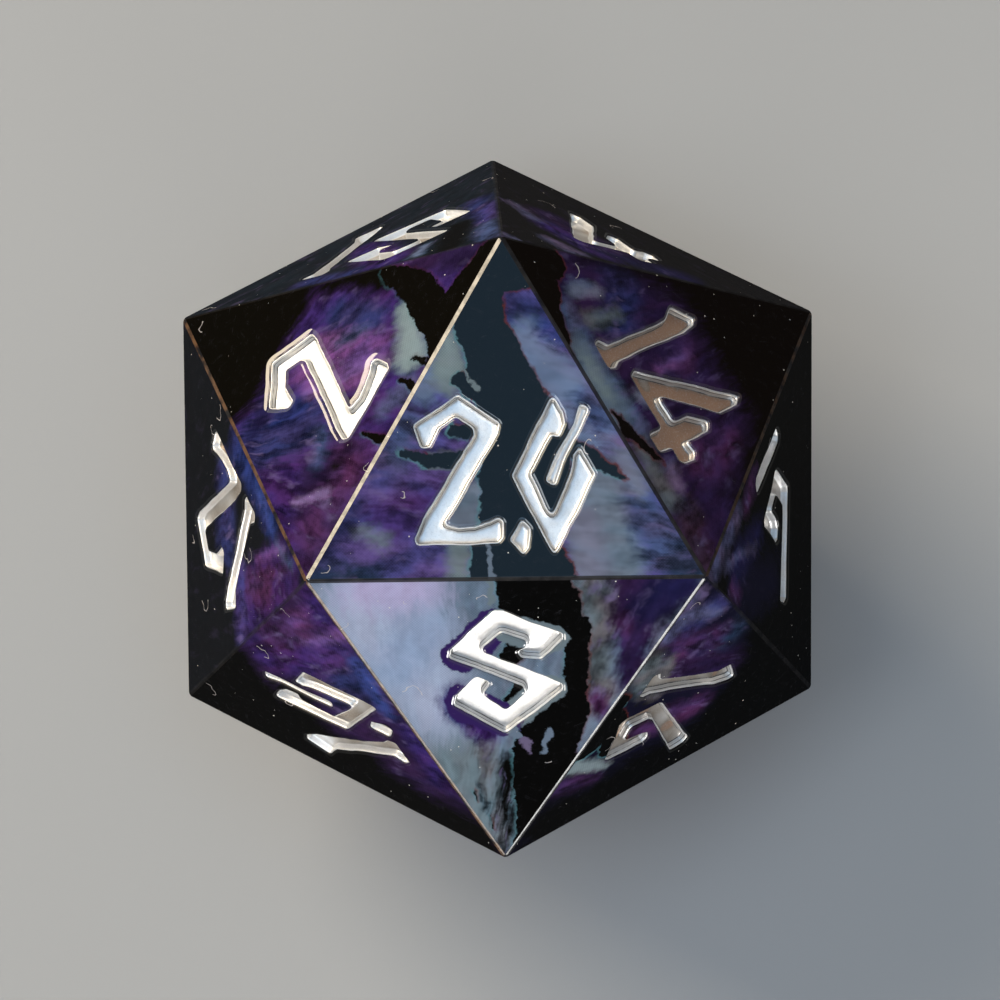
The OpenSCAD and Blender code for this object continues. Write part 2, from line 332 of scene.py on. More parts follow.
def rounded_edges(shell):
    """The narrow bevel between each two faces, and the rounded tips where five faces meet."""
    last = len(EDGE_STEPS) - 1
    for a, b, first, second in neighbours():
        n1, n2 = NORMALS[first], NORMALS[second]
        rows = []
        # Each edge's gloss, its strength of painted shade and its painted warm reflection
        shine, wax = EDGE_SHINE.get((first, second), DULL_EDGE), WARM_REFLECTION_EDGES.get((first, second), 0.0)
        dark = DULL_EDGE_SHADE if shine == DULL_EDGE and not wax else 1.0
        for corner in (a, b):
            row = []
            for k in range(last + 1):
                at_face = {0: first, last: second}.get(k)
                key = ("flat", at_face, corner) if at_face else ("edge", first, second, corner, k)
                facing = EDGE_FACING[k] + (0 if at_face else EDGE_LEAN.get((first, second), 0))
                shell.point(key, ball_point(corner, n1.slerp(n2, EDGE_STEPS[k])), n1.slerp(n2, facing),
                            rim=0.0 if at_face else dark, shine=0.0 if at_face else shine, wax=wax)
                row.append(key)
            rows.append(row)
            tip, steps = CORNERS[corner].normalized(), 4
            previous = row
            for m in range(1, steps + 1):
                inner = []
                for k in range(last + 1):
                    arc = n1.slerp(n2, EDGE_STEPS[k]).slerp(tip, m / steps)
                    at_face = {0: first, last: second}.get(k)
                    key = ("tip", corner) if m == steps else ("fan", corner, m, at_face or (first, second, k))
                    shell.point(key, ball_point(corner, arc), arc, rim=dark, shine=shine, wax=wax)
                    inner.append(key)
                for k in range(last):
                    shell.face([previous[k], previous[k + 1], inner[k + 1], inner[k]])
                previous = inner
        for k in range(last):
            shell.face([rows[0][k], rows[1][k], rows[1][k + 1], rows[0][k + 1]])


def engraved_face(shell, number):
    """A flat face and the pockets of its number."""
    lip_width = LIP_WIDTHS.get(number, 1)
    lip_shine = WORN_SHINE if 1 < lip_width else DULL_SHINE if number in DULL_LIPS else LIP_SHINE
    frame_in = face_frame(number).inverted()
    flat = [("flat", number, corner) for corner in FACES[number][0]]
    points = [Vector((frame_in @ shell.known[key].co).xy) / MM for key in flat]
    keys, loops, holes = list(flat), [flat], []
    for s, outline in enumerate(strokes(number)):
        rings = []
        for depth_step, (by, depth) in enumerate(POCKET):
            if LIP_START < by:
                by, depth = by * lip_width, depth * lip_width
            ring = softened(outline, by, number)
            ring_keys = [("pocket", number, s, depth_step, i) for i in range(len(ring))]
            for key, p in zip(ring_keys, ring):
                shell.point(key, on_face(number, p, depth), lip=lip_shine if 0 < depth_step else 0.0)
            if depth_step == 0:
                points += ring
                holes.append(ring)
            rings.append(ring_keys)
            bottom = ring
        keys += rings[0]
        loops.append(rings[0])
        for upper, lower in zip(rings, rings[1:]):
            shell.band(upper, lower)
        for face in tiled(bottom, [bottom], lambda middles: inside(middles, bottom)):
            shell.face([rings[-1][v] for v in face])

    def outside_strokes(middles):
        return ~np.any([inside(middles, hole) for hole in holes], axis=0)

    for face in tiled(points, loops, outside_strokes):
        shell.face([keys[v] for v in face])


def face_nearest(place):
    return max(FACES, key=lambda number: NORMALS[number].dot(place - CENTRE))


def keep_faces_flat(piece, facing):
    """Smooth shading in the bevels and pockets, with each face's own normal wherever it is flat."""
    data = piece.data
    normals = [facing.get(v.index, Vector(v.normal)) for v in data.vertices]
    for polygon in data.polygons:
        number = face_nearest(Vector(polygon.center))
        polygon.material_index = number - 1
        height = NORMALS[number].dot(Vector(polygon.center) - CENTRE)
        if abs(height - HALF_FLATS) < 1e-7:
            for v in polygon.vertices:
                normals[v] = NORMALS[number]
    data.normals_split_custom_set_from_vertices(normals)


def casting():
    shell = Shell("rim", "shine", "wax", "lip")
    rounded_edges(shell)
    for number in FACES:
        engraved_face(shell, number)
    piece = shell.finished("resin_casting")
    for number in FACES:
        piece.data.materials.append(resin(number))
    keep_faces_flat(piece, shell.facing)
    return piece


# --- Paint ---------------------------------------------------------------
def depth_of_floor(point, number, away):
    """Paint is a little deeper in the middle of a stroke and lies in shallow brush waves."""
    at = Vector((point.x, point.y, 3.1 * number))
    wave = 0.012 * noise.noise(at * 1.6) + 0.006 * noise.noise(at * 5.0)
    return PAINT_FLOOR - 0.01 * math.exp(-away / 0.05) + wave


def distances(points, loop):
    """How far each point is from a closed loop."""
    p = np.array([tuple(q) for q in points])
    nearest = np.full(len(points), 1e9)
    for a, b in zip(loop, loop[1:] + loop[:1]):
        a, b = np.array(a), np.array(b)
        side = b - a
        t = np.clip((p - a) @ side / max(side @ side, 1e-12), 0, 1)
        nearest = np.minimum(nearest, np.linalg.norm(p - a - t[:, None] * side, axis=1))
    return nearest


def floor_points(loop, spacing=0.11):
    """A staggered grid of points within a loop, a little way off it."""
    xs, ys = [p.x for p in loop], [p.y for p in loop]
    found, row, y = [], 0, min(ys)
    while y < max(ys):
        x = min(xs) + (0.5 * spacing if row % 2 else 0)
        while x < max(xs):
            found.append(Vector((x, y)))
            x += spacing
        y += spacing * 0.87
        row += 1
    if not found:
        return []
    keep = inside(found, loop) & (distances(found, loop) > 0.5 * spacing)
    return [p for p, k in zip(found, keep) if k]


def tarnish(point, number):
    """How much painted brown reflection the paint's floor takes: patchy, and less near the tops of the
    digits.
    """
    amount, top = BROWN_REFLECTIONS.get(number, (0.0, 0.0))
    patches = noise.noise(Vector((point.x * 1.1, point.y * 1.1, 5.7 * number)))
    return min(1.0, amount * (1 + 0.7 * patches)) * min(1.0, max(0.1, (top - point.y) / 0.9))


def mean_width(outline):
    sides = list(zip(outline, outline[1:] + outline[:1]))
    area = abs(sum(a.x * b.y - b.x * a.y for a, b in sides)) / 2
    return 2 * area / sum((b - a).length for a, b in sides)


def painted_stroke(shell, number, s, outline):
    """Paint that lines one stroke: a rounded rim at the wall's top, the wall and the floor."""
    seam = FAINT_SEAM if mean_width(outline) < NARROW_STROKE or number in SEAMLESS else 1.0
    rings = []
    for k, (by, depth) in enumerate(PAINT_BACK[::-1] + PAINT):
        ring = softened(outline, by, number)
        ring_keys = [("paint", s, k, i) for i in range(len(ring))]
        # This ring's share of the painted shade along the paint's wall
        nearness = max(0.0, 1 - abs(depth - SEAM_DEPTH) / SEAM_REACH)
        crease = seam * nearness if k >= len(PAINT_BACK) else 0.0
        for key, p in zip(ring_keys, ring):
            # Only the floor's edge ring takes the painted brown reflection of the floor
            brown = tarnish(p, number) if (by, depth) == PAINT[-1] else 0.0
            shell.point(key, on_face(number, p, depth), crease=crease, tarnish=brown)
        rings.append(ring_keys)
        if k == 0:
            back = ring
    for upper, lower in zip(rings, rings[1:]):
        shell.band(upper, lower)
    for face in tiled(back, [back], lambda middles: inside(middles, back)):
        shell.face([rings[0][v] for v in face])
    within = floor_points(ring)
    keys = list(rings[-1])
    for i, (p, away) in enumerate(zip(within, distances(within, ring) if within else [])):
        key = ("floor", s, i)
        shell.point(key, on_face(number, p, depth_of_floor(p, number, away)), tarnish=tarnish(p, number))
        keys.append(key)
    for face in tiled(ring + within, [ring], lambda middles: inside(middles, ring)):
        shell.face([keys[v] for v in face])


def numeral(number, paint):
    shell = Shell("crease", "tarnish")
    for s, outline in enumerate(strokes(number)):
        painted_stroke(shell, number, s, outline)
    piece = shell.finished(f"painted_number_{number:02d}")
    piece.data.materials.append(paint)
    return piece


# --- Node helpers --------------------------------------------------------
class Wire:
    """A node's output. Arithmetic on it adds the nodes that work it out."""

    def __init__(self, socket):
        self.socket, self.tree, self.number = socket, socket.id_data, socket.type == "VALUE"

    def maths(self, operation, other):
        return (calc if self.number else vector_calc)(operation, self, other)

    def __add__(self, other):
        return self.maths("ADD", other)

    def __sub__(self, other):
        return self.maths("SUBTRACT", other)

    def __mul__(self, other):
        by_number = isinstance(other, float) or isinstance(other, Wire) and other.number
        if by_number and not self.number:
            return wire(add(self.tree, "ShaderNodeVectorMath", {0: self, "Scale": other}, operation="SCALE"))
        return self.maths("MULTIPLY", other)

    def __truediv__(self, other):
        return calc("DIVIDE", self, other)

    def __rtruediv__(self, other):
        return calc("DIVIDE", other, self)

    def __abs__(self):
        return calc("ABSOLUTE", self)

    def __lt__(self, other):
        return calc("LESS_THAN", self, other)

    def __gt__(self, other):
        return calc("GREATER_THAN", self, other)


def link(value, socket):
    """Puts a wire or a plain value on an input."""
    if isinstance(value, Wire):
        socket.id_data.links.new(value.socket, socket)
    else:
        socket.default_value = value


def add(tree, kind, inputs=None, **settings):
    """A node with its settings, and with wires or plain values on its inputs."""
    made = tree.nodes.new(kind)
    for name, value in settings.items():
        setattr(made, name, value)
    for socket, value in (inputs or {}).items():
        link(value, made.inputs[socket])
    return made


def wire(node, name=0):
    return Wire(node.outputs[name])


def wires(node):
    return {socket.name: Wire(socket) for socket in node.outputs}


def tree_of(values):
    return next(value.tree for value in values if isinstance(value, Wire))


def calc(operation, *values, clamp=False):
    return wire(add(tree_of(values), "ShaderNodeMath", dict(enumerate(values)), operation=operation,
                    use_clamp=clamp))


def vector_calc(operation, *values):
    made = add(tree_of(values), "ShaderNodeVectorMath", dict(enumerate(values)), operation=operation)
    return wire(made, "Value" if operation in ("DOT_PRODUCT", "LENGTH") else "Vector")


def length(vector):
    return vector_calc("LENGTH", vector)


def split(vector):
    return wires(add(vector.tree, "ShaderNodeSeparateXYZ", {0: vector}))


def eased(value, start, end):
    """0 before start and 1 after end, with an S-shaped step between them."""
    return wire(add(value.tree, "ShaderNodeMapRange", {"Value": value, "From Min": start, "From Max": end},
                    interpolation_type="SMOOTHSTEP"), "Result")


def mixed(share, under, over):
    """One colour laid over another."""
    made = add(share.tree, "ShaderNodeMix", data_type="RGBA")
    sockets = {socket.identifier: socket for socket in [*made.inputs, *made.outputs]}
    for name, value in (("Factor_Float", share), ("A_Color", under), ("B_Color", over)):
        link(value, sockets[name])
    return Wire(sockets["Result_Color"])


def noise_of(place, scale, detail=3.0, roughness=0.5, output="Fac"):
    return wire(add(place.tree, "ShaderNodeTexNoise", {
        "Vector": place, "Scale": scale, "Detail": detail, "Roughness": roughness}), output)


def swing_of(place, scale, detail, roughness=0.5):
    """Noise that swings either way along each axis."""
    return noise_of(place, scale, detail, roughness, "Color") - (0.5, 0.5, 0.5)


def cells_of(point, spacing, randomness, **settings):
    """Cells about as wide as the spacing, and three random numbers for each."""
    cells = wires(add(point.tree, "ShaderNodeTexVoronoi", {
        "Vector": point, "Scale": 1.0 / spacing, "Randomness": randomness}, **settings))
    picks = add(point.tree, "ShaderNodeSeparateColor", {0: cells["Color"]}).outputs
    return cells, [Wire(socket) for socket in picks]


def new_group(name, inputs, **outputs):
    """A node group: its inputs with their defaults, and the kind of each output."""
    tree = bpy.data.node_groups.new(name, "ShaderNodeTree")
    for label, default in inputs.items():
        kind = "Float" if isinstance(default, float) else {3: "Vector", 4: "Color"}[len(default)]
        socket = tree.interface.new_socket(label, in_out="INPUT", socket_type=f"NodeSocket{kind}")
        socket.default_value = default
    for label, kind in outputs.items():
        tree.interface.new_socket(label, in_out="OUTPUT", socket_type=f"NodeSocket{kind}")
    return wires(add(tree, "NodeGroupInput")), add(tree, "NodeGroupOutput").inputs


def put(group, **inputs):
    """A node group placed in a tree. Underscores in the names stand for spaces."""
    inputs = {name.replace("_", " "): value for name, value in inputs.items()}
    return wires(add(tree_of(inputs.values()), "ShaderNodeGroup", inputs,
                     node_tree=bpy.data.node_groups[group]))


def rgb(name):
    """A named colour, made linear."""
    return tuple((c / 255 / 12.92 if c < 10.3 else ((c / 255 + 0.055) / 1.055) ** 2.4)
                 for c in COLOURS[name]) + (1.0,)


# --- Resin pattern -------------------------------------------------------
COLOURS = {
    "black": (6, 6, 6), "warm black": (10, 8, 5), "brown black": (12, 8, 6), "charcoal": (17, 19, 23),
    "slate": (21, 27, 35), "slate blue": (34, 44, 66), "ash": (84, 88, 92), "black with painted sky": (24, 35, 45),
    "umber": (19, 18, 20), "indigo": (40, 42, 82), "night indigo": (27, 24, 58), "midnight": (16, 15, 34),
    "deep blue": (34, 42, 90), "blue": (46, 60, 116), "dusk blue": (60, 68, 102), "violet": (54, 48, 98),
    "amethyst": (68, 60, 110), "dusk violet": (46, 30, 82), "purple": (64, 42, 96),
    "dark purple": (50, 30, 80), "night plum": (38, 24, 56), "plum": (56, 34, 70),
    "magenta": (94, 62, 116), "dark magenta": (64, 36, 72), "orchid": (104, 72, 124),
    "lilac": (112, 98, 146), "haze": (96, 110, 128), "teal haze": (100, 114, 122),
    "steel": (97, 113, 145), "dim steel": (74, 82, 112), "lavender": (150, 160, 184),
    "pink lavender": (162, 156, 190), "mist": (134, 150, 178), "grey lavender": (106, 112, 134),
    "teal grey": (118, 134, 140), "brown purple": (56, 38, 56), "grey violet": (98, 88, 116),
    "dusk grey": (80, 76, 106), "rust": (84, 36, 26), "cyan": (78, 122, 132),
}

# Patterns, in hundredths of the edge from the middle of a face. The marbling fans out from the focus.
# A cloud is its colour, softness, two ends (x, y) and the radius at each. The ink is one dark colour,
# its fringe (the colours on the left and the right, and how strong) and marks of two ends and the
# radius at each. Flecks are crisp marks over it, given by their colour, ends and radii.
PATTERNS = {
    20: {
        "ground": "amethyst", "focus": (170, -30, 0),
        "clouds": [
            ("indigo", 4, -46, -20, -38, -12, 3, 4), ("purple", 4, -30, -14, -14, -10, 5, 5),
            ("haze", 3, -36, -17, -31, -19, 1, 1.5), ("dusk blue", 4, -24, 12, -27, 2, 3, 3),
            ("night plum", 2.5, -26, 17, -20, 14.5, 0.6, 1.2), ("steel", 2.5, -15, 27, -20, 19, 3, 3),
            ("teal haze", 2.5, -13.5, 32, -13, 22, 3, 4), ("teal grey", 2.5, -14, 31, -14, 25, 1.5, 2.5),
            ("haze", 2, -8.5, -7, -10.5, -15, 2.5, 4), ("teal haze", 2.5, -11, -20, -11.5, -29, 2.5, 2.5),
            ("slate blue", 4, -47, -29, -34, -28, 4, 3), ("indigo", 4, 2, 40, 6, 37, 4, 5),
            ("steel", 4, 6, 31, 12, 20, 5, 7), ("deep blue", 3, 11, 34.5, 15, 32, 2, 2.2),
            ("steel", 4, 15, 18, 20, 6, 6, 7), ("dusk blue", 3, 20, 16, 23, 10, 3, 3),
            ("dusk grey", 4, 26, 2, 29, -5, 4, 4), ("haze", 4, 22, -8, 26, -24, 7, 9),
            ("grey lavender", 3, 19, -14, 22, -25, 3, 4), ("dusk blue", 4, 34, -10, 40, -22, 4, 5),
            ("grey lavender", 3, 29, 1, 33, -6, 2, 2.5), ("slate blue", 4, 43, -27, 50, -29, 4, 5)],
        # The ink here is black with a painted reflection of the sky in it; faces 5 and 19 take after this
        # face
        "ink": ("black with painted sky", ("cyan", "rust", 1.0), [
            (-1, 66, -1, 66, 22.6, 22.6), (-6, 44, -5.7, 35, 7, 5.8), (-5.7, 35, -2.4, 28.8, 5.8, 6.7),
            (-2.4, 28.8, -0.7, 21.7, 6.9, 8), (-0.7, 21.7, 3, 14, 8, 8.5), (3, 14, 6, 7, 8.5, 10),
            (6, 7, 5, -4, 10, 12), (5, -4, 4.5, -13, 11.5, 10.8), (4.5, -13, 2, -20, 10.8, 9.8),
            (2, -20, 5, -29, 9.8, 12.4), (-6, -19, -6.5, -30, 1.6, 3), (17, 4, 29, -4.5, 2.4, 0.8),
            (-10.6, 21.5, -8, 19, 1.8, 2.2), (-13, 9, -9, 8.5, 1.6, 2), (-25.5, 3.2, -19, 1.6, 0.8, 1.8),
            (-19, 1.6, -10, 1.5, 1.8, 2.2)]),
        "flecks": [
            ("haze", -4.4, -20.5, -3.6, -29, 0.6, 0.9), ("teal haze", -9.2, 24, -5.9, 19.5, 0.4, 0.7)],
    },
    8: {
        # The haze ground and the teal haze, lavender, pink lavender and mist clouds are partly a painted
        # reflection of a bright window over the resin's own colour; face 1 takes after this face
        "ground": "haze", "focus": (12, 95, 0),
        "clouds": [
            ("teal haze", 8, 3, 50, 12, 28, 6, 9), ("lavender", 8, 17, 11, 32, -20, 8, 14),
            ("pink lavender", 7, 22, -25, 34, -27, 5, 6), ("mist", 5, 27, -3, 20, -14, 6, 6),
            ("ash", 4, 2, 35, 5, 25, 1.5, 2.5), ("black", 2.5, 0, 56, -1, 28, 1, 2.4),
            ("slate", 1.5, 3, 46, 4.5, 40, 0.5, 0.8), ("slate", 1.2, 6, 39, 6.5, 35, 0.3, 0.5),
            ("ash", 5, -24, 8, -23, -28, 4, 6), ("dark magenta", 3, -26, 14, -23, 8, 2, 2.5),
            ("night plum", 4, -31, 4, -33, -26, 3, 7), ("night indigo", 4, -44, -27, -36, -20, 6, 5),
            ("plum", 2.5, -31, -9, -29, -15, 1.2, 1.6), ("dusk violet", 3, 4, 18, 12, 8, 4, 5),
            ("night plum", 3, -16, 28, -14, 24, 2, 3)],
        "ink": ("black", ("rust", "cyan", 0.7), [
            (-11, 58, -13, 34, 9.2, 10), (-12, 34, -10, 26, 10, 8), (-10, 24, -13, 12, 7.5, 8),
            (-17, 12, -18, -14, 3, 3), (-15, -14, -12, -22, 4, 6.5), (-11, -21, -7, -30, 7, 8.5),
            (-4, -22, -4, -30, 6, 6.8), (-4, 5, -2, 9, 2.5, 2.5), (-3, -9, -1, -6, 3, 3),
            (2.6, 48, 3.4, 44, 0.3, 0.4), (7.4, 39, 8, 36.5, 0.4, 0.3)]),
        # The first four flecks, round the 8, are painted light: the teal haze ones a painted reflection of
        # the 8's paint seen through the resin, the dusk violet ones its painted shadow
        "flecks": [
            ("teal haze", -11.3, 4.5, 0, 15.1, 4.2, 4.2), ("dusk violet", 0.5, 15.1, 10.6, 8, 5, 5),
            ("dusk violet", 11, -5.5, 3, -15, 5, 4.5), ("teal haze", 1.4, -15, -11, -10.6, 4.2, 4.4),
            ("haze", -3.4, 20, 0, 16, 1, 2), ("haze", -9.5, 24, -10.5, 18, 0.7, 1),
            ("grey violet", -6, 25, -5, 21, 0.5, 1.2), ("teal haze", 3.6, -21, 4.4, -30, 0.8, 1)],
    },
    2: {
        "ground": "dark purple", "focus": (-34, 34, 0),
        "clouds": [
            ("indigo", 5, -23, 11, -14, 1, 7, 8), ("night indigo", 4, -25, 13, -13, 16, 2, 3),
            ("deep blue", 2.5, -15, 8, -11, 3, 2, 2), ("magenta", 5, 1, 6, 8, -8, 6, 7),
            ("orchid", 3, 8, 8, 13, 1, 2, 2.5), ("orchid", 3, -5, 3, 4, -7, 1.6, 2),
            ("plum", 6, -38, -26, -18, -18, 8, 8), ("night plum", 4, -33, -16, -21, -10, 3, 4),
            ("dark magenta", 3, -30, -24, -20, -22, 2.5, 3), ("dusk blue", 3, -21, -11, -14, -8, 1, 2),
            ("lilac", 2, -33, -12, -27, -20, 0.5, 0.8), ("indigo", 4, 16, 8, 19, -3, 4, 4),
            ("dusk blue", 3, 9, 3, 14, -3, 1, 1.2), ("teal grey", 3, 23, -13, 13, -22, 2.6, 4.2),
            ("night plum", 4, 36, -8, 45, -24, 4, 4), ("dusk blue", 3, -2, -23, 6, -27, 2, 2.5),
            ("warm black", 4, 0, 60, 0, 52, 18, 18), ("warm black", 4, -12, 37, 14, 37, 17.5, 17.5),
            ("warm black", 3, 22, 18, 30, 0, 2, 4), ("warm black", 2, -20, -17, -19.6, -18, 0.8, 0.8)],
        "ink": ("warm black", ("cyan", "rust", 0.3), [
            (31, -1, 30, -11, 3, 5), (30, -12, 25, -22, 5, 6), (24, -25, 16, -29, 5, 3),
            (27, -26, 46, -30, 5, 5.5), (-9.5, -21, -9, -29, 0.8, 1.3), (6, -24, 6, -29, 1, 1.4),
            (12.5, -23, 13, -29, 0.6, 1.2)]),
    },
    14: {
        "ground": "night plum", "focus": (0, 95, 0),
        "clouds": [
            ("plum", 5, -8, 10, 0, 5, 2, 3), ("dark magenta", 5, 20, 4, 24, -8, 3, 4),
            ("indigo", 5, -27, 0, -18, -8, 5, 5), ("ash", 3, -20, -7, -21, -16, 1.2, 2.2),
            ("grey lavender", 3, -28, -9, -30, -16, 0.8, 1.6),
            ("grey lavender", 2.5, -12, -12, -12, -17, 1, 2),
            ("grey lavender", 2.5, 4, -12, 2, -16, 0.8, 1.6), ("dim steel", 3, -27, -22, 9, -23, 2, 3),
            ("haze", 4, -16, -25, 2, -27, 3, 4.5), ("teal grey", 3, -13, -25, -3, -26, 0.8, 1.4),
            ("orchid", 3, -3, 8, -2, -4, 0.3, 0.6), ("ash", 4, 14, -25, 28, -26, 2.6, 3.2),
            ("grey violet", 3, 22, -19, 26, -20, 1.6, 1.6),
            ("brown purple", 3, 32, -19, 35, -21, 1.5, 1.5), ("brown purple", 5, 36, -25, 46, -28, 4, 4),
            ("brown black", 6, 0, 60, 0, 50, 20, 20), ("brown black", 7, -10, 34, 10, 34, 17.5, 18),
            ("brown black", 6, -23, 20, -40, -3, 6, 4), ("brown black", 6, 21, 21, 37, -3, 5.5, 2.5)],
        "ink": ("brown black", ("rust", "rust", 0.8), [
            (-46, -26, -40, -20, 6, 6), (-38, -24, -31, -26, 5.5, 4.2), (-31, -26, -16, -29.5, 4.2, 1.6),
            (2, -27.4, 8, -26.6, 0.6, 1.9), (8, -26.6, 13, -24, 1.9, 1.4), (13, -24, 20, -20.3, 1.4, 0.5)]),
    },
    16: {
        "ground": "midnight", "focus": (-5, 95, 0),
        "clouds": [
            ("slate blue", 5, -30, 2, -22, -4, 4, 6), ("night plum", 5, -14, 12, -16, -10, 5, 7),
            ("indigo", 4, -40, -14, -30, -22, 4, 5), ("dusk grey", 3, -36, -12, -36, -24, 1.4, 2.4),
            ("dusk grey", 3, -44, -27, -28, -27, 2, 3), ("plum", 4, -26, -6, -22, -20, 4, 5),
            ("dark magenta", 2.5, -25, -13, -22, -16, 1.4, 2), ("ash", 3, -11, -19, -18, -27, 4.5, 4.5),
            ("ash", 2.5, -18, -18, -7, -14, 2, 2.4), ("dark magenta", 4, 0, 9, 6, -8, 3.4, 4.4),
            ("dark magenta", 3, 4, -4, 6, -8, 1, 1.6), ("teal grey", 2, 19, -13, 17, -28, 1.2, 3),
            ("plum", 3, 24, -14, 25, -27, 2, 3), ("black", 4, 0, 60, 0, 52, 20, 20),
            ("black", 7, -14, 34, 10, 34, 19, 20), ("black", 6, -22, 18, -31, 7, 6, 3),
            ("black", 7, 20, 22, 30, 4, 5, 6), ("black", 7, 15, 15, 21, 1, 8, 5),
            ("black", 8, 27, 3, 39, -20, 9, 10)],
        "ink": ("black", ("rust", "cyan", 0.8), [
            (-6, -28, 8, -29, 3.5, 6.5), (0, -25, 11, -17, 3.4, 4.2)]),
    },
    10: {
        "ground": "night plum", "focus": (-5, 95, 0),
        "clouds": [
            ("dark purple", 6, 19, 10, 22, -6, 6, 8), ("dark magenta", 4, 26, 4, 33, -14, 3, 4),
            ("purple", 4, 20, -12, 30, -24, 4, 4), ("indigo", 5, 8, -8, 12, -18, 5, 6),
            ("orchid", 2.5, 27, -9, 31, -28, 0.8, 1.2), ("magenta", 2.5, 33, -10, 40, -24, 0.5, 1),
            ("dusk violet", 4, 37, -23, 44, -27, 3, 3), ("blue", 4, 4, -23, 19, -26, 2, 3.4),
            ("dusk violet", 4, -22, -25, -6, -27, 3, 3.5), ("black", 3, 0, 60, 0, 52, 20, 20),
            ("black", 6, -14, 36, 16, 36, 17.5, 17.5), ("black", 6, -9, 20, 3, 12, 10, 7),
            ("black", 7, -16, 12, -18, 2, 12, 8), ("black", 7, -28, 4, -44, -20, 10, 12)],
    },
    12: {
        "ground": "charcoal", "focus": (40, 70, 0),
        "clouds": [
            ("dark purple", 4, -38, -22, -21, 6, 8, 7), ("violet", 4, -22, 16, -14, 2, 3, 4),
            ("dark magenta", 4, -30, -8, -22, 0, 3, 3), ("dark magenta", 2.5, -40, -24, -18, 0, 1.2, 1.2),
            ("magenta", 2, -34, -25, -21, -10, 0.5, 0.7), ("indigo", 4, -2, 2, 6, -14, 5, 6),
            ("deep blue", 4, -24, -25, 4, -26, 4, 4), ("dusk blue", 3, -40, -25, -30, -23, 1, 1),
            ("blue", 3, -24, -24, -14, -26, 1.5, 2), ("charcoal", 3, 17, -18, 18, -28, 5, 6)],
    },
    6: {
        "ground": "black", "focus": (-25, 95, 0),
        "clouds": [
            ("midnight", 6, 11, 9, 30, -6, 5, 8), ("night indigo", 5, 14, -10, 31, -14, 3, 5),
            ("dark magenta", 4, 9, -24, 16, -23, 2, 2), ("dark magenta", 3, 33, -7, 36, -12, 1.2, 1.6),
            ("dusk grey", 2.5, 17, -8, 37, -20, 0.3, 0.8), ("dusk grey", 4, 24, -25, 45, -27, 2, 3)],
    },
    18: {
        "ground": "slate", "focus": (8, 90, 0),
        "clouds": [
            ("indigo", 3.5, 18, 16, 25, 4, 3, 3), ("violet", 3, 25, 8, 33, -8, 2, 2.4),
            ("dusk blue", 3, 36, -12, 45, -26, 1.8, 3.4), ("dusk violet", 4, -6, -4, 12, -24, 4, 7),
            ("indigo", 3, -14, -25, 2, -27, 3, 3), ("steel", 2.5, 21, -18, 23, -26, 1, 1.6),
            ("black", 3, 24, -6, 33, -26, 3, 4)],
    },
    4: {
        "ground": "umber", "focus": (0, 90, 0),
        "clouds": [
            ("night plum", 4, -13, 8, -8, -14, 4, 7), ("dusk violet", 4, -20, -4, -14, -20, 4, 6),
            ("dusk grey", 3.5, -21.5, 12, -22, 0, 1, 1.6), ("dusk grey", 3.5, -29, -20, -26, -27, 2, 3),
            ("night indigo", 5, -12, -20, 10, -25, 4, 4), ("dim steel", 2, -47, -26, -45, -29, 1.4, 1.4)],
    },
}
# The clouds run through the die, so a hidden face takes after one that shows, turned by thirds
TAKES_AFTER = {1: (8, 1), 3: (2, 1), 5: (20, 2), 7: (14, 2), 9: (10, 1), 11: (16, 1),
               13: (2, 2), 15: (18, 2), 17: (12, 1), 19: (20, 1)}

BLACK, ORIGIN = (0, 0, 0, 1), (0, 0, 0)
MARK = {"Point": ORIGIN, "Start": ORIGIN, "End": ORIGIN, "Start Radius": 1.0, "End Radius": 1.0}
# Spacing of the faint, cloth-like grain in the dye, in hundredths of the edge
THREAD = 0.75


def reach_group():
    """Distance outside a mark with two round ends, and which side of it a point is on."""
    given, result = new_group("mark_reach", MARK, Distance="Float", Side="Float")
    along, offset = given["End"] - given["Start"], given["Point"] - given["Start"]
    length_squared = calc("MAXIMUM", vector_calc("DOT_PRODUCT", along, along), 0.0001)
    share = calc("DIVIDE", vector_calc("DOT_PRODUCT", offset, along), length_squared, clamp=True)
    away = offset - along * share
    radius = share * (given["End Radius"] - given["Start Radius"]) + given["Start Radius"]
    link(length(away) - radius, result["Distance"])
    link(split(away)["X"], result["Side"])


def reach_in(given):
    return put("mark_reach", **{label: given[label] for label in MARK})


def cloud_group():
    """A soft, feathered cloud of one colour laid over what is under it."""
    given, result = new_group("cloud", {"Under": BLACK, "Colour": BLACK, "Softness": 3.0, "Feather": 0.5,
                                        **MARK}, Colour="Color")
    softness = given["Softness"]
    distance = (given["Feather"] - 0.5) * softness * 2.4 + reach_in(given)["Distance"]
    share = eased(distance, softness, softness * -0.7)
    link(mixed(share, given["Under"], given["Colour"]), result["Colour"])


def ink_group():
    """Joins one more mark to the dark ink: the smallest distance so far, and its side."""
    given, result = new_group("ink_mark", {"Distance": 99.0, "Side": 0.0, **MARK},
                              Distance="Float", Side="Float")
    reach = reach_in(given)
    nearer = reach["Distance"] < given["Distance"]
    link(calc("MINIMUM", reach["Distance"], given["Distance"]), result["Distance"])
    link(nearer * (reach["Side"] - given["Side"]) + given["Side"], result["Side"])


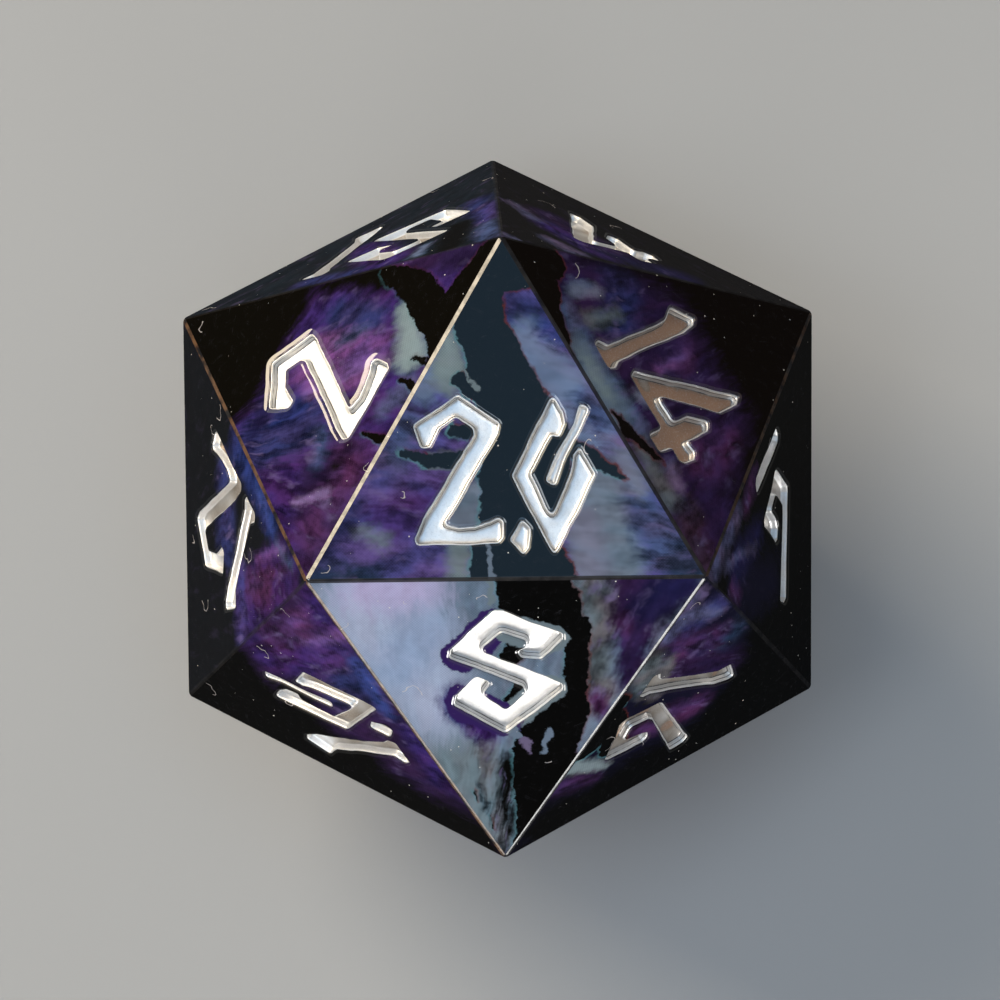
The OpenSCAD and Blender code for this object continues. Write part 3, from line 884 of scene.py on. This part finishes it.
def ink_edge_group():
    """Lays the ink over the clouds, with a fringe of one colour on its left and one on its right."""
    given, result = new_group("ink_edge", {
        "Under": BLACK, "Ink": BLACK, "Distance": 99.0, "Side": 0.0, "Left": BLACK, "Right": BLACK,
        "Fringe": 1.0, "Patches": 0.5}, Colour="Color")
    fringe = mixed(eased(given["Side"], -0.4, 0.4), given["Left"], given["Right"])
    near = eased(given["Distance"], 1.0, 0.1) * given["Fringe"]
    patchy = eased(given["Patches"], 0.4, 0.6) * 0.5 + 0.35
    fringed = mixed(near * patchy, given["Under"], fringe)
    link(mixed(eased(given["Distance"], 0.25, -0.25), fringed, given["Ink"]), result["Colour"])


def fleck_group():
    """A crisp mark of one colour."""
    given, result = new_group("fleck", {"Under": BLACK, "Colour": BLACK, **MARK}, Colour="Color")
    share = eased(reach_in(given)["Distance"], 0.3, -0.3)
    link(mixed(share, given["Under"], given["Colour"]), result["Colour"])


def drift_group():
    """Bends the pattern's coordinates, so that the marks get ragged, flowing sides."""
    given, result = new_group("drift", {"Point": ORIGIN, "Inside": ORIGIN, "Flow": 2.0, "Ragged": 1.0},
                              Point="Vector")
    flow = swing_of(given["Inside"], 0.42, 1.0, 0.6) * given["Flow"]
    ragged = swing_of(given["Inside"], 2.2, 5.0, 0.6) * given["Ragged"]
    link(given["Point"] + flow + ragged, result["Point"])


def marbling_group():
    """Cloudlets drawn out along lines that fan from a focus: how light, how rosy and how milky."""
    given, result = new_group("marbling", {"Point": ORIGIN, "Focus": (0, 90, 0)}, Shade="Float",
                              Hue="Float", Milk="Float", Streaks="Float", Weave="Float")
    point = given["Point"]
    offset = given["Focus"] - (point + swing_of(point, 0.07, 2.0) * 6.0 + swing_of(point, 0.24, 2.0) * 1.2)
    parts = split(offset)
    across = calc("ARCTAN2", parts["X"], parts["Y"]) * length(given["Focus"])
    along = length(offset)

    def drawn_out(wide, long, shift, detail):
        place = add(point.tree, "ShaderNodeCombineXYZ", {0: across * wide, 1: along * long, 2: shift})
        return noise_of(wire(place), 1.0, detail, 0.55)

    link(drawn_out(0.26, 0.085, 3.0, 2.0) * 0.65 + noise_of(point, 0.4, 5.0, 0.65) * 0.35, result["Shade"])
    link(drawn_out(0.17, 0.07, 11.0, 1.0), result["Hue"])
    link(drawn_out(0.24, 0.1, 23.0, 3.0), result["Milk"])
    link(drawn_out(0.95, 0.16, 37.0, 2.0), result["Streaks"])
    grid = split(point * (math.tau / THREAD))
    link(calc("SINE", grid["X"]) * calc("SINE", grid["Y"]), result["Weave"])


def marbled_group():
    """A colour with the marbling in it: strong in the dark dyes, faint in the pale haze."""
    given, result = new_group("marbled", {"Under": BLACK, "Shade": 0.5, "Hue": 0.5, "Milk": 0.5,
                                          "Streaks": 0.5, "Weave": 0.0}, Colour="Color")
    level = wire(add(given["Under"].tree, "ShaderNodeRGBToBW", {0: given["Under"]}))
    dye = eased(level, 0.003, 0.02) * (eased(level, 0.2, 0.05) * 0.86 + 0.14)
    lightness = eased(given["Shade"], 0.34, 0.66) * 1.3 - 0.65
    streak = given["Streaks"] * 0.8 - 0.4
    gain = calc("MAXIMUM", (lightness + streak) * dye + given["Weave"] * 0.13 + 1.0, 0.12)
    tint = mixed(eased(given["Hue"], 0.38, 0.62), (0.84, 0.99, 1.06, 1), (1.12, 0.94, 0.96, 1))
    lit = given["Under"] * mixed(dye, (1, 1, 1, 1), tint) * gain
    milky = eased(given["Milk"], 0.55, 0.75) * (dye * 0.45)
    link(mixed(milky, lit, rgb("lilac")), result["Colour"])


def specks_group():
    """Tiny specks of dust on a surface."""
    given, result = new_group("dust_specks", {"Point": ORIGIN, "Spacing": 1.0, "Size": 0.05, "Share": 0.3},
                              Mask="Float")
    cells, picks = cells_of(given["Point"], given["Spacing"], 1.0)
    size = given["Size"] * (picks[1] + 0.3) / given["Spacing"]
    link((cells["Distance"] < size) * (picks[0] < given["Share"]), result["Mask"])


def lint_group():
    """Short curled fibres: part of a ring here and there."""
    given, result = new_group("lint", {"Point": ORIGIN, "Spacing": 16.0, "Thickness": 0.16, "Share": 0.3},
                              Mask="Float")
    flat = given["Point"] * (1, 1, 0)
    bent = flat + swing_of(flat, 0.3, 1.0) * (4.5, 4.5, 0)
    cells, picks = cells_of(bent, given["Spacing"], 0.9, voronoi_dimensions="2D")
    away = bent - cells["Position"] * (1, 1, 0)
    parts = split(away)
    ring = abs(length(away) - (picks[1] * 1.6 + 0.9))
    turn = calc("ARCTAN2", parts["X"], parts["Y"]) + picks[2] * math.tau
    part = calc("SINE", turn) > 0.1
    thin = eased(ring, given["Thickness"], given["Thickness"] * 0.4)
    link(thin * (part * (picks[0] < given["Share"])), result["Mask"])


def scratches_group():
    """Hairline scratches: thin broken lines in three directions."""
    given, result = new_group("scratches", {"Point": ORIGIN, "Share": 0.5}, Mask="Float")
    point, total = given["Point"], None
    for angle, at in ((0.5, 3.0), (1.9, 17.0), (2.7, 31.0)):
        turned = wire(add(point.tree, "ShaderNodeVectorRotate", {"Vector": point, "Angle": angle},
                          rotation_type="Z_AXIS"))
        line = abs(noise_of(turned * (0.05, 1.3, 0.3) + (at, at, at), 1.0, 2.0, 0.6) - 0.5)
        broken = eased(noise_of(point + (at, 0, 0), 0.35, 1.0), 0.56, 0.66)
        mask = eased(line, 0.004, 0.001) * broken
        total = mask if total is None else calc("MAXIMUM", total, mask)
    link(total * given["Share"], result["Mask"])


# --- Materials -----------------------------------------------------------
def material(name):
    """A material, its tree and the inputs of its shader."""
    made = bpy.data.materials.new(name)
    made.use_nodes = True
    return made, made.node_tree, made.node_tree.nodes["Principled BSDF"].inputs


def attributes(tree, *names):
    return [wire(add(tree, "ShaderNodeAttribute", attribute_name=name), "Fac") for name in names]


def bumped(shader, height, strength, distance):
    link(wire(add(height.tree, "ShaderNodeBump", {
        "Height": height, "Strength": strength, "Distance": distance})), shader["Normal"])


def flat_mark(values):
    x1, y1, x2, y2, r1, r2 = values
    return dict(Start=(x1, y1, 0), End=(x2, y2, 0), Start_Radius=r1, End_Radius=r2)


def face_pattern(pattern, point, inside_point):
    """Colour of a face: its ground, clouds, marbling, ink and flecks, in that order."""
    drifted = put("drift", Point=point, Inside=inside_point, Flow=3.0, Ragged=3.8)["Point"]
    marbling = put("marbling", Point=point, Focus=pattern["focus"])
    feather = marbling["Shade"] * 0.6 + marbling["Streaks"] * 0.4
    colour = rgb(pattern["ground"])
    for name, softness, *ends in pattern["clouds"]:
        colour = put("cloud", Under=colour, Colour=rgb(name), Softness=softness, Feather=feather,
                     Point=drifted, **flat_mark(ends))["Colour"]
    colour = put("marbled", Under=colour, **marbling)["Colour"]
    if "ink" in pattern:
        ink, (left, right, strength), marks = pattern["ink"]
        distance, side = 99.0, 0.0
        for ends in marks:
            reach = put("ink_mark", Distance=distance, Side=side, Point=drifted, **flat_mark(ends))
            distance, side = reach["Distance"], reach["Side"]
        colour = put("ink_edge", Under=colour, Ink=rgb(ink), Distance=distance, Side=side, Left=rgb(left),
                     Right=rgb(right), Fringe=strength, Patches=marbling["Milk"])["Colour"]
    for name, *ends in pattern.get("flecks", []):
        colour = put("fleck", Under=colour, Colour=rgb(name), Point=drifted, **flat_mark(ends))["Colour"]
    return colour


# Colours that aren't in the pattern: real scratches, dust, lint and scuffs on the resin, the silver paint's
# own tones,
# and painted light: shade, a warm reflection and sheen on the edges, and shade and a brown reflection in the
# paint
EDGE_SHADE, EDGE_WARM_REFLECTION, SCUFF_AND_SHEEN = (0.006, 0.006, 0.008, 1), (0.26, 0.13, 0.06, 1), (0.5, 0.46, 0.4, 1)
SCRATCH, DUST, LINT = (0.2, 0.2, 0.24, 1), (0.6, 0.58, 0.54, 1), (0.5, 0.46, 0.46, 1)
SILVER, DULL_SILVER, FLAKE = (0.9, 0.9, 0.9, 1), (0.78, 0.77, 0.76, 1), (0.6, 0.59, 0.58, 1)
REFLECTED_DARK_BROWN, REFLECTED_BROWN = (0.26, 0.2, 0.145, 1), (0.42, 0.27, 0.19, 1)
CREASE_SHADE, SEAM_SHADE = (0.3, 0.3, 0.3, 1), (0.07, 0.07, 0.075, 1)
# The flat faces are hardly glossy, so that they stay as dark over a pale floor as over a dark cloth
FACE_GLOSS = 0.04


def resin(number):
    """Dark resin with the pattern of one face, glossy where its edges and lips were polished."""
    source, thirds = TAKES_AFTER.get(number, (number, 0))
    made, tree, shader = material(f"swirled_resin_{number:02d}")
    place = face_frame(number) @ Matrix.Rotation(math.radians(120 * thirds), 4, "Z")
    coordinates = wire(add(tree, "ShaderNodeTexCoord"), "Object")
    # In the face's own plane, in hundredths of the edge. Depth counts for next to nothing
    point = wire(add(tree, "ShaderNodeMapping", {
        "Vector": coordinates, "Location": place.translation, "Rotation": place.to_euler(),
        "Scale": (EDGE / 100, EDGE / 100, EDGE * 1000)}, vector_type="TEXTURE"))
    inside_point = coordinates * (1 / MM)
    rim, shine, wax, lip = attributes(tree, "rim", "shine", "wax", "lip")

    colour = face_pattern(PATTERNS[source], point, inside_point)
    # Painted shade on the edge bevels, nearly black, and on a few edges a patchy painted warm reflection in
    # brown
    warm_reflection_share = wax * eased(noise_of(inside_point, 1.6, 4.0, 0.6), 0.36, 0.64)
    colour = mixed(rim * 0.92, colour, mixed(warm_reflection_share, EDGE_SHADE, EDGE_WARM_REFLECTION))
    # A faint pale tint on the edge bevels: partly scuffing, partly painted sheen
    colour = mixed(rim * eased(noise_of(inside_point, 1.3), 0.3, 0.7) * 0.03, colour, SCUFF_AND_SHEEN)
    hairlines = put("scratches", Point=point, Share=0.5)["Mask"]
    colour = mixed(hairlines * 0.2, colour, SCRATCH)
    specks = put("dust_specks", Point=inside_point, Spacing=0.36, Size=0.023, Share=0.4)["Mask"]
    colour = mixed(specks, colour, DUST)
    elsewhere = point + (61.0 * number, 37.0 * number, 0)
    lint = put("lint", Point=elsewhere, Spacing=17.0, Thickness=0.16, Share=0.25)["Mask"]
    link(mixed(lint * 0.75, colour, LINT), shader["Base Color"])

    smudge = noise_of(inside_point, 0.35, 4.0, 0.6) * 0.1 + 0.03
    link(specks * 0.6 + smudge, shader["Roughness"])
    worn = eased(noise_of(inside_point, 2.6, 4.0, 0.6), 0.36, 0.6) * 0.35 + 0.65
    link(calc("MAXIMUM", shine * worn, calc("MAXIMUM", lip, FACE_GLOSS)), shader["Coat Weight"])
    shader["Specular IOR Level"].default_value = 0.0
    shader["Coat IOR"].default_value = 2.05
    shader["Coat Roughness"].default_value = 0.07
    wear = rim * noise_of(inside_point, 4.0, 3.0, 0.6)
    bumped(shader, wear * 1.2 + noise_of(inside_point, 0.8, 2.0), 0.2, 0.01 * MM)
    return made


def silver_paint():
    """Silver paint laid by hand: fine flake grain, brush lines, painted shade where the wall meets the floor,
    and a painted brown reflection on some floors.
    """
    made, tree, shader = material("silver_paint")
    point = wire(add(tree, "ShaderNodeTexCoord"), "Object") * (1 / MM)
    crease, tarnish = attributes(tree, "crease", "tarnish")
    clouds, grain = noise_of(point, 1.4, 4.0, 0.6), noise_of(point, 15.0, 2.0, 0.7)
    colour = mixed(eased(clouds, 0.3, 0.75), SILVER, DULL_SILVER)
    # Painted brown reflection of warm surroundings on the paint's floor
    colour = mixed(tarnish, colour, mixed(eased(tarnish, 0.9, 1.0), REFLECTED_DARK_BROWN, REFLECTED_BROWN))
    # Painted shade along the wall: greyer, with a dark seam line
    colour = mixed(crease * 0.45, colour, CREASE_SHADE)
    colour = mixed(eased(abs(crease - 0.4), 0.2, 0.05) * eased(clouds, 0.2, 0.6), colour, SEAM_SHADE)
    link(mixed(eased(grain, 0.5, 0.7) * 0.35, colour, FLAKE), shader["Base Color"])
    shader["Metallic"].default_value = 0.7
    link(clouds * 0.2 + 0.27, shader["Roughness"])
    bumped(shader, grain * 0.5 + noise_of(point, 4.0, 3.0, 0.6), 0.5, 0.02 * MM)
    return made


# --- Room ----------------------------------------------------------------
FLOOR_HALF, FLOOR_COLOUR = 3.0, (0.42, 0.425, 0.43, 1)
# The sky is darker round the sides than overhead, with a soft step between these two heights
SKY_STEP, SKY_SIDES, SKY_TOP, SKY_STRENGTH = (0.84, 0.97), (0.2, 0.195, 0.19, 1), (0.5, 0.76, 1.06, 1), 1.1
# Where the camera stands, which way it looks, which way is up in it, and its lens in millimetres
CAMERA_PLACE, CAMERA_LENS = (-0.006622, -0.042454, 0.330601), 308.8
CAMERA_AHEAD, CAMERA_UP = (0.02066, 0.13213, -0.99102), (0.01155, 0.99113, 0.13238)


def pale_floor():
    data = bpy.data.meshes.new("floor")
    sides = [(-FLOOR_HALF, -FLOOR_HALF, 0), (FLOOR_HALF, -FLOOR_HALF, 0), (FLOOR_HALF, FLOOR_HALF, 0),
             (-FLOOR_HALF, FLOOR_HALF, 0)]
    data.from_pydata(sides, [], [(0, 1, 2, 3)])
    made, _, shader = material("pale_floor")
    for name, value in (("Base Color", FLOOR_COLOUR), ("Roughness", 0.9), ("Specular IOR Level", 0.1)):
        link(value, shader[name])
    data.materials.append(made)
    new_object("floor", data)


def soft_lamp(name, azimuth, elevation, distance, size, power, colour, diffuse=True, glossy=True):
    """A square lamp that faces the die. Azimuth 0 is in front (-Y), and 90 on the right."""
    data = bpy.data.lights.new(name, "AREA")
    data.shape, data.size, data.energy, data.color = "SQUARE", size, power, colour
    lamp = new_object(name, data)
    a, e = math.radians(azimuth), math.radians(elevation)
    away = Vector((math.sin(a) * math.cos(e), -math.cos(a) * math.cos(e), math.sin(e)))
    lamp.location = CENTRE + away * distance
    lamp.rotation_euler = away.to_track_quat("Z", "Y").to_euler()
    lamp.visible_camera, lamp.visible_diffuse, lamp.visible_glossy = False, diffuse, glossy


def studio_light():
    world = bpy.data.worlds.new("studio")
    bpy.context.scene.world = world
    world.use_nodes = True
    background = world.node_tree.nodes["Background"].inputs
    height = split(wire(add(world.node_tree, "ShaderNodeTexCoord"), "Generated"))["Z"]
    link(mixed(eased(height, *SKY_STEP), SKY_SIDES, SKY_TOP), background["Color"])
    link(SKY_STRENGTH, background["Strength"])
    soft_lamp("left_back_lamp", -131, 34, 0.5, 0.28, 2.5, (1.0, 0.86, 0.66), glossy=False)
    soft_lamp("left_back_shine", -128, 31, 0.5, 0.42, 3.7, (1.0, 0.84, 0.62), diffuse=False)
    soft_lamp("front_left_lamp", -23, 1, 0.45, 0.22, 1.4, (1.0, 0.93, 0.84))
    soft_lamp("front_right_lamp", 21, 1, 0.45, 0.16, 1.4, (1.0, 0.99, 0.97))
    soft_lamp("high_lamp", -75, 62, 0.6, 0.24, 0.7, (0.9, 0.96, 1.0))
    soft_lamp("right_back_card", 126, 8, 0.4, 0.24, 0.03, (1.0, 0.66, 0.42))


def camera():
    data = bpy.data.cameras.new("camera")
    data.lens, data.sensor_width = CAMERA_LENS, 36
    data.clip_start, data.clip_end = 0.01, 20
    ahead = Vector(CAMERA_AHEAD).normalized()
    right = ahead.cross(Vector(CAMERA_UP)).normalized()
    turned = Matrix((right, right.cross(ahead), -ahead)).transposed().to_4x4()
    made = new_object("camera", data)
    made.matrix_world = Matrix.Translation(CAMERA_PLACE) @ turned
    bpy.context.scene.camera = made


# --- Assembly ------------------------------------------------------------
for build in (reach_group, cloud_group, ink_group, ink_edge_group, fleck_group, drift_group,
              marbling_group, marbled_group, specks_group, lint_group, scratches_group):
    build()

pale_floor()
studio_light()
camera()
bpy.context.scene.view_settings.view_transform = "Standard"

die = casting()
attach(die, "root")
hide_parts("body")

paint = silver_paint()
for number in FACES:
    piece = numeral(number, paint)
    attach(piece, "root")
    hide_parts(f"numeral_{number:02d}")
